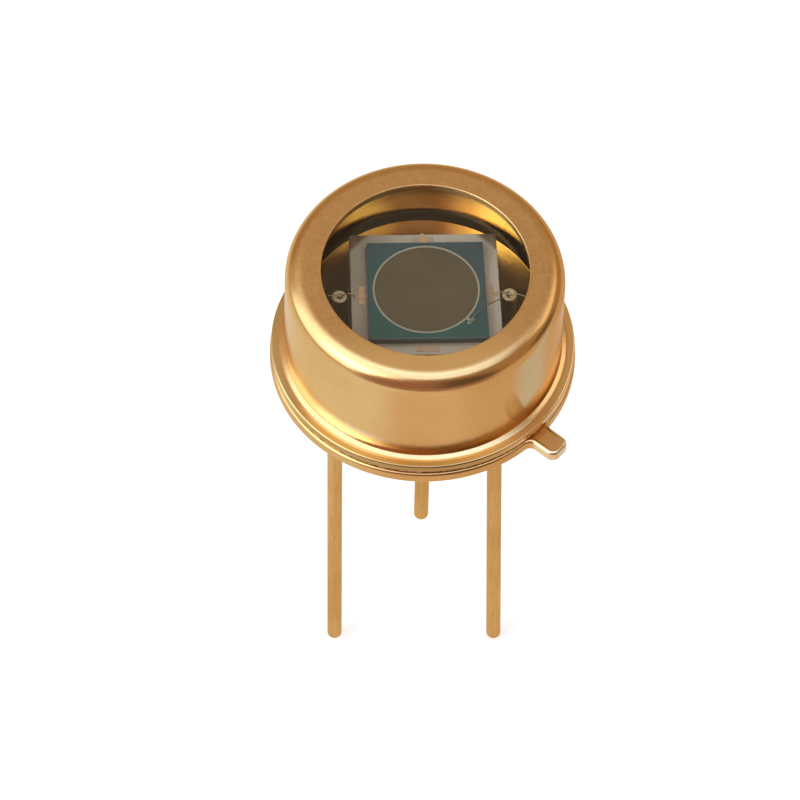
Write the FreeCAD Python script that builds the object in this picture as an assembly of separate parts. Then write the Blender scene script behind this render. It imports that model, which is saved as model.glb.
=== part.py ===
import FreeCAD, Part
import math
import os

# A photodiode in a short round metal can: a stamped header with an index tab, three leads,
# a drawn cap with a glazed aperture, and a square chip on a ceramic plate behind the glass.
# Millimetres. The origin is the centre of the seating plane under the header's flange,
# +Z is the can's axis and the leads hang along -Z.

# Leads
pin_circle_radius = 2.54
lead_radius = 0.225
lead_length = 15.30
case_lead_length = 12.30
lead_tip_rounding = 0.17
post_edge_bevel = 0.07
weld_head_radius = 0.42
weld_head_thickness = 0.14
weld_head_bevel = 0.05

# Header pressing
lead_hole_radius = 0.55
platform_rim = 0.63
platform_height = 1.25
platform_shoulder = 0.08
platform_root = 0.12
shell_sheet = 0.28
shell_mouth_bevel = 0.07
flange_thickness = 0.40
flange_margin = 0.03
flange_edge_bevel = 0.06

# Index tab of the header
tab_angle = -43.5
tab_width = 0.76
tab_reach = 0.87
tab_tip_rounding = 0.16
tab_root_rounding = 0.24

# Sealing glass of the header
glass_recess = 0.10
glass_sink = 0.02
meniscus_width = 0.12
meniscus_height = 0.06

# Ceramic plate and the metal on it
substrate_post_gap = 0.11
substrate_thickness = 1.20
substrate_bond_thickness = 0.10
substrate_bond_spread = 0.06
substrate_above_post = 0.05
metal_thickness = 0.02
pad_bar_length = 0.68
pad_bar_width = 0.16
pad_arm_width = 0.12
pad_edge_gap = 0.03

# Chip
chip_strip = 0.445
chip_thickness = 0.20
chip_bond_thickness = 0.03
chip_bond_spread = 0.03
ring_margin = 0.16
ring_width = 0.06
ring_thickness = 0.02
film_thickness = 0.01
ring_tab_angle = -42.0
ring_stem_width = 0.10
ring_stem_length = 0.10
ring_bar_width = 0.26
ring_bar_length = 0.09

# Bond wires
wire_radius = 0.018
wire_rise = 0.07
chip_wire_rise = 0.12
foot_length = 0.13
foot_width = 0.08
foot_thickness = 0.03
wire_over_foot = 0.005
tail_length = 0.42
tail_lift = 0.02
loop_share = 0.40
left_tail_turn = 3.0
right_tail_turn = -14.0
post_bond_offset = 0.07
chip_wire_offset = 0.13

# Cap and window
cap_clearance = 0.20
cap_sheet = 0.25
cap_flange_width = 0.40
cap_flange_rise = 0.09
cap_rim_bevel = 0.05
cap_base_bevel = 0.05
cap_bend_inside = 0.28
cap_shoulder = 0.53
aperture_edge_bevel = 0.03
window_headroom = 0.37
window_thickness = 0.70
window_side_gap = 0.07
window_lap = 0.45
seal_height = 0.55
seal_slope_height = 0.12
seam_height = 0.10
seam_width = 0.17

# Radii and heights that follow from the sizes above
platform_radius = pin_circle_radius + lead_hole_radius + platform_rim
cavity_radius = platform_radius - shell_sheet
cap_inner_radius = platform_radius + cap_clearance
cap_radius = cap_inner_radius + cap_sheet
cap_flange_radius = cap_radius + cap_flange_width
flange_radius = cap_flange_radius + flange_margin
cap_shoulder_inside = max(cap_shoulder - cap_sheet, 0.0)
window_radius = cap_inner_radius - cap_shoulder_inside - window_side_gap
aperture_radius = window_radius - window_lap

platform_top = flange_thickness + platform_height
cap_seat = flange_thickness + seam_height
cavity_top = platform_top - shell_sheet
substrate_bottom = platform_top + substrate_bond_thickness
substrate_top = substrate_bottom + substrate_thickness
post_top = substrate_top - substrate_above_post
chip_bottom = substrate_top + chip_bond_thickness
chip_top = chip_bottom + chip_thickness
window_bottom = chip_top + window_headroom
window_top = window_bottom + window_thickness
cap_top = window_top + cap_sheet

substrate_half = pin_circle_radius - lead_radius - substrate_post_gap
chip_half = substrate_half - chip_strip
strip_middle = (substrate_half + chip_half + chip_bond_spread) / 2
ring_radius = chip_half - ring_margin
ring_inner_radius = ring_radius - ring_width

V = FreeCAD.Vector
up = V(0, 0, 1)
centre = V(0, 0, 0)
left_pin = V(-pin_circle_radius, 0, 0)
right_pin = V(pin_circle_radius, 0, 0)
case_pin = V(0, pin_circle_radius, 0)


def polar(radius, angle, z=0.0):
    # A point at a radius and an angle in degrees, turned from +X towards +Y.
    a = math.radians(angle)
    return V(radius * math.cos(a), radius * math.sin(a), z)


def eased_wire(corners):
    # A closed outline through corners, each (point, size, kind): a "round" corner has a tangent
    # arc of that radius and a "bevel" corner a straight cut of that setback. Where two corners
    # need more than the side between them, both give way.
    count = len(corners)
    points = [point for point, size, kind in corners]
    halves, setbacks = [], []
    for i, (point, size, kind) in enumerate(corners):
        half = (points[i - 1] - point).getAngle(points[(i + 1) % count] - point) / 2
        halves.append(half)
        setbacks.append(size / math.tan(half) if kind == "round" else size)
    shares = []
    for i in range(count):
        wanted = setbacks[i] + setbacks[(i + 1) % count]
        side = (points[(i + 1) % count] - points[i]).Length
        shares.append(min(1.0, 0.96 * side / wanted) if wanted else 1.0)
    cuts = []
    for i, (point, size, kind) in enumerate(corners):
        setback = setbacks[i] * min(shares[i - 1], shares[i])
        back = (points[i - 1] - point).normalize()
        ahead = (points[(i + 1) % count] - point).normalize()
        start, end = point + back * setback, point + ahead * setback
        radius = setback * math.tan(halves[i])
        middle = point + (back + ahead).normalize() * (radius / math.sin(halves[i]) - radius)
        cuts.append((start, middle, end, kind if setback else "sharp"))
    edges = []
    for i, (start, middle, end, kind) in enumerate(cuts):
        if kind == "round":
            edges.append(Part.Arc(start, middle, end).toShape())
        if kind == "bevel":
            edges.append(Part.LineSegment(start, end).toShape())
        edges.append(Part.LineSegment(end, cuts[(i + 1) % count][0]).toShape())
    return Part.Wire(edges)


def turned(corners):
    # A solid turned about Z from a section given as (radius, height, size, kind) corners, where
    # a corner with no size is sharp.
    full = [(V(c[0], 0, c[1]), c[2] if len(c) > 2 else 0.0, c[3] if len(c) > 3 else "round")
            for c in corners]
    return Part.Face(eased_wire(full)).revolve(centre, up, 360)


def slab(outline, bottom, thickness):
    # A plate with the given flat outline, from bottom upwards.
    plate = Part.Face(outline).extrude(up * thickness)
    plate.translate(up * bottom)
    return plate


def square(half, bottom, thickness):
    return Part.makeBox(2 * half, 2 * half, thickness, V(-half, -half, bottom))


def at_pin(shape, pin):
    placed = shape.copy()
    placed.translate(pin)
    return placed


def flange_outline():
    # The flange's round rim runs into the tab through a concave arc on each side.
    half = tab_width / 2
    root = tab_root_rounding
    tip = min(tab_tip_rounding, 0.9 * half)
    reach = flange_radius + tab_reach
    root_x = math.sqrt((flange_radius + root) ** 2 - (half + root) ** 2)
    root_centre = V(root_x, half + root, 0)
    on_rim = root_centre * (flange_radius / (flange_radius + root))
    on_side = V(root_x, half, 0)
    root_middle = root_centre + (on_rim + on_side - root_centre * 2).normalize() * root
    tip_side = V(reach - tip, half, 0)
    tip_end = V(reach, half - tip, 0)
    slope = math.sqrt(0.5) * tip
    tip_middle = V(reach - tip + slope, half - tip + slope, 0)

    def mirrored(p):
        return V(p.x, -p.y, p.z)

    edges = [
        Part.Arc(on_rim, V(-flange_radius, 0, 0), mirrored(on_rim)),
        Part.Arc(mirrored(on_rim), mirrored(root_middle), mirrored(on_side)),
        Part.LineSegment(mirrored(on_side), mirrored(tip_side)),
        Part.Arc(mirrored(tip_side), mirrored(tip_middle), mirrored(tip_end)),
        Part.LineSegment(mirrored(tip_end), tip_end),
        Part.Arc(tip_end, tip_middle, tip_side),
        Part.LineSegment(tip_side, on_side),
        Part.Arc(on_side, root_middle, on_rim),
    ]
    outline = Part.Wire([e.toShape() for e in edges])
    outline.rotate(centre, up, tab_angle)
    return outline


def header_shell():
    # One pressing: flange and tab, the raised platform with its rounded shoulder, the open
    # hollow underneath and the two clearance holes for the insulated leads.
    plate = slab(flange_outline(), 0, flange_thickness)
    edge = min(flange_edge_bevel, 0.45 * flange_thickness)
    plate = plate.makeChamfer(edge, [e for e in plate.Edges if on_one_level(e)])
    platform = turned([
        (0, 0),
        (platform_radius + platform_root, 0),
        (platform_radius + platform_root, flange_thickness),
        (platform_radius, flange_thickness, platform_root, "bevel"),
        (platform_radius, platform_top, platform_shoulder, "bevel"),
        (0, platform_top),
    ])
    hollow = turned([
        (0, -flange_thickness),
        (cavity_radius + shell_mouth_bevel, -flange_thickness),
        (cavity_radius + shell_mouth_bevel, 0),
        (cavity_radius, 0, shell_mouth_bevel, "bevel"),
        (cavity_radius, cavity_top),
        (0, cavity_top),
    ])
    shell = plate.fuse(platform).removeSplitter().cut(hollow)
    for pin in (left_pin, right_pin):
        hole = Part.makeCylinder(lead_hole_radius, 2 * shell_sheet,
                                 pin + up * (platform_top - 1.5 * shell_sheet))
        shell = shell.cut(hole)
    return shell


def on_one_level(edge):
    box = edge.BoundBox
    return box.ZMax - box.ZMin < 1e-6


def lead(pin, length, top, top_bevel):
    # One round wire from its rounded tip below the seating plane up to its top.
    wire = turned([
        (0, -length),
        (lead_radius, -length, lead_tip_rounding),
        (lead_radius, top, top_bevel, "bevel"),
        (0, top),
    ])
    return at_pin(wire, pin)


def insulated_lead(pin):
    return lead(pin, lead_length, post_top, post_edge_bevel)


def case_lead():
    # The case lead ends in an upset head, butt-welded to the inside of the platform.
    wire = lead(case_pin, case_lead_length, cavity_top - weld_head_thickness / 2, 0)
    head = turned([
        (0, cavity_top - weld_head_thickness),
        (weld_head_radius, cavity_top - weld_head_thickness, weld_head_bevel, "bevel"),
        (weld_head_radius, cavity_top),
        (0, cavity_top),
    ])
    return wire.fuse(at_pin(head, case_pin)).removeSplitter()


def header_glass(leads):
    # Glass fills the hollow and the two holes round the leads, and climbs each lead a little.
    glass = turned([
        (0, glass_recess),
        (cavity_radius, glass_recess),
        (cavity_radius, cavity_top),
        (0, cavity_top),
    ])
    neck_bottom = cavity_top - shell_sheet
    neck = Part.makeCylinder(lead_hole_radius, platform_top - glass_sink - neck_bottom,
                             up * neck_bottom)
    meniscus = turned([
        (0, glass_recess),
        (lead_radius + meniscus_width, glass_recess),
        (lead_radius, glass_recess - meniscus_height),
        (0, glass_recess - meniscus_height),
    ])
    for pin in (left_pin, right_pin):
        glass = glass.fuse(at_pin(neck, pin))
    for pin in (left_pin, right_pin, case_pin):
        glass = glass.fuse(at_pin(meniscus, pin))
    for piece in leads:
        glass = glass.cut(piece)
    return glass.removeSplitter()


def cap():
    # One drawn sheet: flange, straight wall, round shoulder and a flat top with the aperture.
    # The flange is coined, so it is thickest beside the wall, and it rests on the weld seam.
    return turned([
        (cap_inner_radius, cap_seat, cap_bend_inside, "bevel"),
        (cap_flange_radius, cap_seat, cap_rim_bevel, "bevel"),
        (cap_flange_radius, cap_seat + cap_sheet, cap_rim_bevel, "bevel"),
        (cap_radius, cap_seat + cap_sheet + cap_flange_rise, cap_base_bevel, "bevel"),
        (cap_radius, cap_top, cap_shoulder),
        (aperture_radius, cap_top, aperture_edge_bevel, "bevel"),
        (aperture_radius, window_top),
        (cap_inner_radius, window_top, cap_shoulder_inside, "bevel"),
    ])


def weld_flash():
    # The ring of weld metal that joins the two flanges, a little inside their rims.
    outer = cap_flange_radius - cap_rim_bevel
    inner = outer - seam_width
    return turned([
        (inner, flange_thickness),
        (outer, flange_thickness),
        (outer, cap_seat),
        (inner, cap_seat),
    ])


def window():
    return Part.makeCylinder(window_radius, window_thickness, up * window_bottom)


def window_seal(cap_shape):
    # The seal fills the corner between the disc's edge and the cap's inside.
    height = min(seal_height, window_thickness)
    ring = turned([
        (window_radius, window_top),
        (cap_inner_radius, window_top),
        (cap_inner_radius, window_top - height),
        (window_radius, window_top - height + min(seal_slope_height, 0.5 * height)),
    ])
    return ring.cut(cap_shape)


def cross_pad(angle):
    # A metal cross in the strip beside the chip: a bar along the plate's side and an arm
    # across the strip.
    arm_length = substrate_half - chip_half - chip_bond_spread - 2 * pad_edge_gap
    bar = Part.makeBox(pad_bar_width, pad_bar_length, metal_thickness,
                       V(strip_middle - pad_bar_width / 2, -pad_bar_length / 2, substrate_top))
    arm = Part.makeBox(arm_length, pad_arm_width, metal_thickness,
                       V(strip_middle - arm_length / 2, -pad_arm_width / 2, substrate_top))
    pad = bar.fuse(arm).removeSplitter()
    pad.rotate(centre, up, angle)
    return pad


def contact_ring():
    # The ring electrode and its T-shaped bond tab.
    ring = Part.makeCylinder(ring_radius, ring_thickness, up * chip_top)
    stem = Part.makeBox(ring_stem_length + ring_width / 2, ring_stem_width, ring_thickness,
                        V(ring_radius - ring_width / 2, -ring_stem_width / 2, chip_top))
    bar = Part.makeBox(ring_bar_length, ring_bar_width, ring_thickness,
                       V(ring_radius + ring_stem_length, -ring_bar_width / 2, chip_top))
    tab = stem.fuse(bar)
    tab.rotate(centre, up, ring_tab_angle)
    hole = Part.makeCylinder(ring_inner_radius, ring_thickness, up * chip_top)
    return ring.fuse(tab).removeSplitter().cut(hole)


def chip_film():
    return Part.makeCylinder(ring_inner_radius, film_thickness, up * chip_top)


def wire_run(points):
    # A round wire bent through points, with a mitre at each bend.
    path = Part.makePolygon(points)
    section = Part.makeCircle(wire_radius, points[0], points[1] - points[0])
    sweep = Part.BRepOffsetAPI.MakePipeShell(path)
    sweep.setTransitionMode(1)
    sweep.add(Part.Wire(section), False, False)
    sweep.build()
    sweep.makeSolid()
    return sweep.shape()


def bond_foot(point, heading):
    # The flattened end of a wire, pressed on the surface at point.
    foot = Part.makeBox(foot_length, foot_width, foot_thickness,
                        V(-foot_length / 2, -foot_width / 2, 0))
    foot.rotate(centre, up, heading)
    foot.translate(point)
    return foot


def bond_wire(start, end, rise, tail_turn=None):
    # A wire looped between two flattened feet, with an optional cut tail beyond the second one.
    # The points lie on the surfaces that the feet stand on.
    heading = math.degrees(math.atan2(end.y - start.y, end.x - start.x))
    over = up * (foot_thickness + wire_over_foot)
    first, last = start + over, end + over
    crest = first * (1 - loop_share) + last * loop_share
    crest.z = max(first.z, last.z) + rise
    points = [first, crest, last]
    if tail_turn is not None:
        points.append(last + polar(tail_length, heading + tail_turn, tail_lift))
    return wire_run(points).fuse([bond_foot(start, heading), bond_foot(end, heading)])


def wires():
    pad_top = substrate_top + metal_thickness
    ring_bond = polar(ring_radius + ring_stem_length + ring_bar_length / 2, ring_tab_angle,
                      chip_top + ring_thickness)
    inward = V(post_bond_offset, 0, 0)
    aside = V(0, chip_wire_offset, 0)
    left_post = left_pin + up * post_top
    right_post = right_pin + up * post_top
    left_pad = V(-strip_middle, 0, pad_top)
    right_pad = V(strip_middle, 0, pad_top)
    return {
        "wire_left": bond_wire(left_pad, left_post + inward, wire_rise, left_tail_turn),
        "wire_right": bond_wire(right_pad, right_post - inward, wire_rise, right_tail_turn),
        "wire_chip": bond_wire(ring_bond, right_post - aside, chip_wire_rise),
    }


def build():
    left, right, case = insulated_lead(left_pin), insulated_lead(right_pin), case_lead()
    cap_shape = cap()
    nodes = {
        "header_shell": header_shell(),
        "header_glass": header_glass((left, right, case)),
        "lead_left": left,
        "lead_right": right,
        "lead_case": case,
        "cap": cap_shape,
        "weld_flash": weld_flash(),
        "window": window(),
        "window_seal": window_seal(cap_shape),
        "substrate_bond": square(substrate_half + substrate_bond_spread, platform_top,
                                 substrate_bond_thickness),
        "substrate": square(substrate_half, substrate_bottom, substrate_thickness),
        "chip_bond": square(chip_half + chip_bond_spread, substrate_top, chip_bond_thickness),
        "chip": square(chip_half, chip_bottom, chip_thickness),
        "chip_film": chip_film(),
        "contact_ring": contact_ring(),
    }
    for name, angle in (("pad_right", 0), ("pad_back", 90), ("pad_left", 180), ("pad_front", 270)):
        nodes[name] = cross_pad(angle)
    nodes.update(wires())
    return nodes


os.makedirs("parts", exist_ok=True)
for name, shape in build().items():
    shape.exportStep("parts/" + name + ".step")
    print(name, shape.ShapeType, len(shape.Solids), "valid" if shape.isValid() else "INVALID",
          round(shape.Volume, 5))
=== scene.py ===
import math
import bmesh
import bpy
import numpy as np
from mathutils import Matrix, Vector


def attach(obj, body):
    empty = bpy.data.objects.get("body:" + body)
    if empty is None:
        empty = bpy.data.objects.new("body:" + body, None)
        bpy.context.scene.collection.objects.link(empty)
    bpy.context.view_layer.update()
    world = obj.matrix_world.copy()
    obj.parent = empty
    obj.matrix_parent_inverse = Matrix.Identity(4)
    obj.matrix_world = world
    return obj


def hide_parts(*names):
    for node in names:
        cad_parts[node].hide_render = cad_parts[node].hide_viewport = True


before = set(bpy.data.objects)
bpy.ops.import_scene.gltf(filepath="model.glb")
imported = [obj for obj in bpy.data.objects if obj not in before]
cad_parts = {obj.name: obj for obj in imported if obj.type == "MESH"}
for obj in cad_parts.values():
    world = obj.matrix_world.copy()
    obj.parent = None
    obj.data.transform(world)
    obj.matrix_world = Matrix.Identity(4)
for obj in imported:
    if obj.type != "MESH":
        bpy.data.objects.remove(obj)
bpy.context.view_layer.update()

mm = 0.001  # the surfaces are worked out in millimetres and stored in metres
print("frame loaded:", len(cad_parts), "nodes")


# Shader maths: a Wire is one socket, and arithmetic on it adds Math nodes

class Wire:
    def __init__(self, bench, socket):
        self.bench, self.socket = bench, socket

    def calc(self, operation, a, b=0.0):
        return self.bench.node("ShaderNodeMath", {"operation": operation}, {0: a, 1: b})

    def __add__(self, other): return self.calc("ADD", self, other)
    def __radd__(self, other): return self.calc("ADD", other, self)
    def __sub__(self, other): return self.calc("SUBTRACT", self, other)
    def __rsub__(self, other): return self.calc("SUBTRACT", other, self)
    def __mul__(self, other): return self.calc("MULTIPLY", self, other)
    def __truediv__(self, other): return self.calc("DIVIDE", self, other)
    def __pow__(self, other): return self.calc("POWER", self, other)
    def __neg__(self): return self.calc("MULTIPLY", self, -1.0)
    def __abs__(self): return self.calc("ABSOLUTE", self)

    def most(self, other): return self.calc("MAXIMUM", self, other)

    def ease(self, low, high):  # 0 below low, 1 above high, smooth between; high may be lower
        return self.bench.node("ShaderNodeMapRange",
                               {"interpolation_type": "SMOOTHSTEP", "clamp": True},
                               {0: self, 1: low, 2: high, 3: 0.0, 4: 1.0})


class Bench:
    def __init__(self, tree):
        self.tree = tree
        tree.nodes.clear()

    def node(self, kind, settings=None, inputs=None, out=0):
        made = self.tree.nodes.new(kind)
        for name, value in (settings or {}).items():
            setattr(made, name, value)
        for name, value in (inputs or {}).items():
            if isinstance(value, Wire):
                self.tree.links.new(value.socket, made.inputs[name])
            else:
                made.inputs[name].default_value = value
        return Wire(self, made.outputs[out]) if made.outputs else None

    def place(self):  # x, y and z over the piece, in millimetres
        spot = self.node("ShaderNodeTexCoord", out="Object")
        return [self.node("ShaderNodeSeparateXYZ", inputs={0: spot}, out=i) * (1 / mm)
                for i in range(3)]

    def noise(self, perMm, detail=3.0, roughness=0.55, stretch=(1, 1, 1), distortion=0.0):
        spot = self.node("ShaderNodeTexCoord", out="Object")
        spot = self.node("ShaderNodeMapping", inputs={0: spot, "Scale": stretch})
        return self.node("ShaderNodeTexNoise", inputs={
            "Vector": spot, "Scale": perMm / mm, "Detail": detail, "Roughness": roughness,
            "Distortion": distortion})

    def mix(self, first, second, share):
        first, second = [(*c, 1.0) if isinstance(c, tuple) and len(c) == 3 else c
                         for c in (first, second)]
        return self.node("ShaderNodeMix", {"data_type": "RGBA"},
                         {0: share, 6: first, 7: second}, out=2)

    def bump(self, height, depthMm, below=None):
        inputs = {"Height": height, "Distance": depthMm * mm, "Strength": 1.0}
        if below is not None:
            inputs["Normal"] = below
        return self.node("ShaderNodeBump", inputs=inputs)


def newFinish(name):
    finish = bpy.data.materials.new(name)
    finish.use_nodes = True
    return finish, Bench(finish.node_tree)


def dress(bench, **sockets):  # the one surface shader of a finish; names as on the node
    inputs = {name.replace("_", " "): value for name, value in sockets.items()}
    colour = inputs.get("Base Color")
    if isinstance(colour, tuple):
        inputs["Base Color"] = (*colour, 1.0)
    surface = bench.node("ShaderNodeBsdfPrincipled", inputs=inputs)
    bench.node("ShaderNodeOutputMaterial", inputs={"Surface": surface})


# Surfaces

def unit(v):
    return v / np.linalg.norm(v)


def cornerArc(before, here, after, radius, steps):
    # The circular arc that rounds a corner between two sides that meet at twice the angle half:
    # centre = corner + bisector * radius / sin(half), and each point of the arc =
    # centre + (first * sin((1 - t) turn) + last * sin(t turn)) / sin(turn), turn = pi - 2 half.
    back, ahead = unit(before - here), unit(after - here)
    half = math.acos(np.clip(back @ ahead, -1, 1)) / 2
    reach = radius / math.tan(half)
    middle = here + unit(back + ahead) * radius / math.sin(half)
    first, last = here + back * reach - middle, here + ahead * reach - middle
    turn = math.pi - 2 * half
    t = np.linspace(0, 1, steps + 1)[:, None]
    return middle + (np.sin((1 - t) * turn) * first + np.sin(t * turn) * last) / math.sin(turn)


def softLine(corners, perArc=10, hug=0.012):
    # A flat line through corners (a, b, radius): each corner with a radius becomes an arc, and
    # a point stands close beyond each end of it, so that shading stays even over straight runs.
    corners = [(*c, 0.0)[:3] for c in corners]
    pts = np.array([c[:2] for c in corners], float)
    line = []
    for i, here in enumerate(pts):
        radius = corners[i][2]
        if i in (0, len(corners) - 1) or radius <= 0:
            line.append(here[None])
            continue
        back, ahead = pts[i - 1] - here, pts[i + 1] - here
        arc = cornerArc(pts[i - 1], here, pts[i + 1], radius, perArc)
        line += [(arc[0] + unit(back) * min(hug, 0.2 * np.linalg.norm(back)))[None], arc,
                 (arc[-1] + unit(ahead) * min(hug, 0.2 * np.linalg.norm(ahead)))[None]]
    return np.concatenate(line)


def turnedGrid(line, around, centre=(0.0, 0.0), closed=False):
    # Radius and height of the line swept round an upright axis: (r cos t, r sin t, z).
    if closed:
        line = np.vstack([line, line[:1]])
    t = np.linspace(0, 2 * math.pi, around + 1)
    r, z = line[:, :1], line[:, 1:]
    return np.stack([centre[0] + r * np.cos(t), centre[1] + r * np.sin(t),
                     np.broadcast_to(z, (len(line), len(t)))], axis=-1)


def plateGrid(outline, rows):
    # An outline stepped inwards: outline - its own outward normal * inset, at each row's height,
    # closed by its middle point above and below.
    turn = np.roll(outline, -1, axis=0) - np.roll(outline, 1, axis=0)
    normal = np.stack([turn[:, 1], -turn[:, 0]], axis=1)
    normal /= np.linalg.norm(normal, axis=1, keepdims=True)
    middle = np.broadcast_to(outline.mean(axis=0), outline.shape)
    layers = [np.column_stack([outline - normal * inset, np.full(len(outline), z)])
              for inset, z in rows]
    layers = ([np.column_stack([middle, np.full(len(outline), rows[0][1])])] + layers
              + [np.column_stack([middle, np.full(len(outline), rows[-1][1])])])
    grid = np.stack(layers)
    return np.concatenate([grid, grid[:, :1]], axis=1)


def roundedRows(bottom, top, radius, steps=4, hug=0.01):
    # Insets and heights of a plate's edge: two quarter rounds, inset = radius (1 - sin t).
    t = np.linspace(0, math.pi / 2, steps + 1)
    inset, drop = radius * (1 - np.sin(t)), radius * (1 - np.cos(t))
    upper = np.column_stack([inset, top - drop])
    lower = np.column_stack([inset, bottom + drop])[::-1]
    return np.vstack([[[radius + hug, top]], upper, lower, [[radius + hug, bottom]]])


def cornered(points, radius, perArc, spacing):
    # A closed polygon with its corners rounded and its sides divided evenly.
    points = np.array(points, float)
    arcs = [cornerArc(before, here, after, radius, perArc) for before, here, after
            in zip(np.roll(points, 1, axis=0), points, np.roll(points, -1, axis=0))]
    parts = []
    for arc, following in zip(arcs, arcs[1:] + arcs[:1]):
        start, end = arc[-1], following[0]
        steps = max(2, int(np.linalg.norm(end - start) / spacing))
        u = np.linspace(0, 1, steps + 1)[1:-1, None]
        parts += [arc, start + (end - start) * u]
    return np.concatenate(parts)


def turnedFlat(points, degrees, offset=(0.0, 0.0)):
    a = math.radians(degrees)
    spin = np.array([[math.cos(a), math.sin(a)], [-math.sin(a), math.cos(a)]])
    return np.asarray(points, float) @ spin + np.asarray(offset, float)


def smoothPath(points, count):
    # A Catmull-Rom curve through the points, worked out for all its parameters at once.
    p = np.array(points, float)
    p = np.vstack([2 * p[0] - p[1], p, 2 * p[-1] - p[-2]])
    u = np.linspace(0, len(p) - 3 - 1e-9, count)
    k = u.astype(int)
    t = (u - k)[:, None]
    a, b, c, d = p[k], p[k + 1], p[k + 2], p[k + 3]
    return 0.5 * (2 * b + (c - a) * t + (2 * a - 5 * b + 4 * c - d) * t ** 2
                  + (3 * b - a - 3 * c + d) * t ** 3)


def tubeGrid(path, radius, around, flat):
    # A ring round each point of the path: point + side * cos t * r + over * sin t * r, where
    # side is level and over stands square to the path; flat widens and thins the ring.
    ahead = np.gradient(path, axis=0)
    ahead /= np.linalg.norm(ahead, axis=1, keepdims=True)
    side = np.cross(ahead, [0.0, 0.0, 1.0])
    side /= np.linalg.norm(side, axis=1, keepdims=True)
    over = np.cross(side, ahead)
    wide, thin = radius * flat[:, 0], radius * flat[:, 1]
    t = np.linspace(0, 2 * math.pi, around + 1)
    grid = (path[:, None] + side[:, None] * np.cos(t)[:, None] * wide[:, None, None]
            + over[:, None] * np.sin(t)[:, None] * thin[:, None, None])
    ends = [np.broadcast_to(path[i], grid[0].shape)[None] for i in (0, -1)]
    return np.concatenate([ends[0], grid, ends[1]])


def makePiece(name, grids, finish, replaced=(), sharpAbove=40.0):
    # Each grid's neighbouring points make one quad; doubled points and closed-up quads go.
    verts, faces, base = [], [], 0
    for grid in grids:
        rows, cols = grid.shape[:2]
        index = base + np.arange(rows * cols).reshape(rows, cols)
        quads = np.stack([index[:-1, :-1], index[:-1, 1:], index[1:, 1:], index[1:, :-1]], -1)
        verts.append(grid.reshape(-1, 3) * mm)
        faces.append(quads.reshape(-1, 4))
        base += rows * cols
    mesh = bpy.data.meshes.new(name)
    mesh.from_pydata(np.concatenate(verts).tolist(), [], np.concatenate(faces).tolist())
    work = bmesh.new()
    work.from_mesh(mesh)
    bmesh.ops.remove_doubles(work, verts=work.verts, dist=1e-7)
    bmesh.ops.dissolve_degenerate(work, edges=work.edges, dist=1e-8)
    bmesh.ops.recalc_face_normals(work, faces=work.faces)
    work.to_mesh(mesh)
    work.free()
    mesh.shade_smooth()
    mesh.set_sharp_from_angle(angle=math.radians(sharpAbove))
    made = bpy.data.objects.new(name, mesh)
    bpy.context.scene.collection.objects.link(made)
    made.data.materials.append(finish)
    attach(made, "root")
    if replaced:
        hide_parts(*replaced)
    print(name, len(mesh.polygons), "faces")


def refinish(node, finish):
    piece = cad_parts[node]
    piece.data.materials.clear()
    piece.data.materials.append(finish)


# Finishes. A mask is made from the place on the piece in millimetres: each ease in it runs
# from 0 at its first number to 1 at its second.

gold = {
    "cap": (0.78, 0.475, 0.185),
    "header": (0.76, 0.445, 0.165),
    # painted highlight: the flange outside the crest is paler for the light it reflects
    "rim": (0.86, 0.55, 0.235),
    "inside": (0.90, 0.615, 0.225),  # the metal within the can is given a yellower tone
    # painted highlight: the tab is paler for the light its rounded edges catch
    "tab": (0.92, 0.70, 0.38),
    "lead": (0.76, 0.48, 0.168),
    "roughness": 0.20,
    "ringRoughness": 0.34,  # the flat top is more matt than the drawn wall
    "shift": 0.10,  # how far the tone wanders
    "edge": (0.96, 0.82, 0.62, 1.0),  # how the gold looks at a flat angle
}


def goldTone(bench, colour, shift):
    # A slow wander between a redder and a paler tone, and fine mottling over it.
    slow = bench.noise(0.35, 2.0).ease(0.35, 0.65)
    fine = bench.noise(9.0, 4.0, 0.6).ease(0.30, 0.72)
    deep = tuple(c * s for c, s in zip(colour, (1 - shift * 0.5, 1 - shift, 1 - shift * 1.4)))
    pale = tuple(min(1, c * s) for c, s in zip(colour, (1 + shift * 0.2, 1 + shift * 0.5,
                                                        1 + shift * 0.9)))
    return bench.mix(deep, pale, slow * 0.6 + fine * 0.4)


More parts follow.
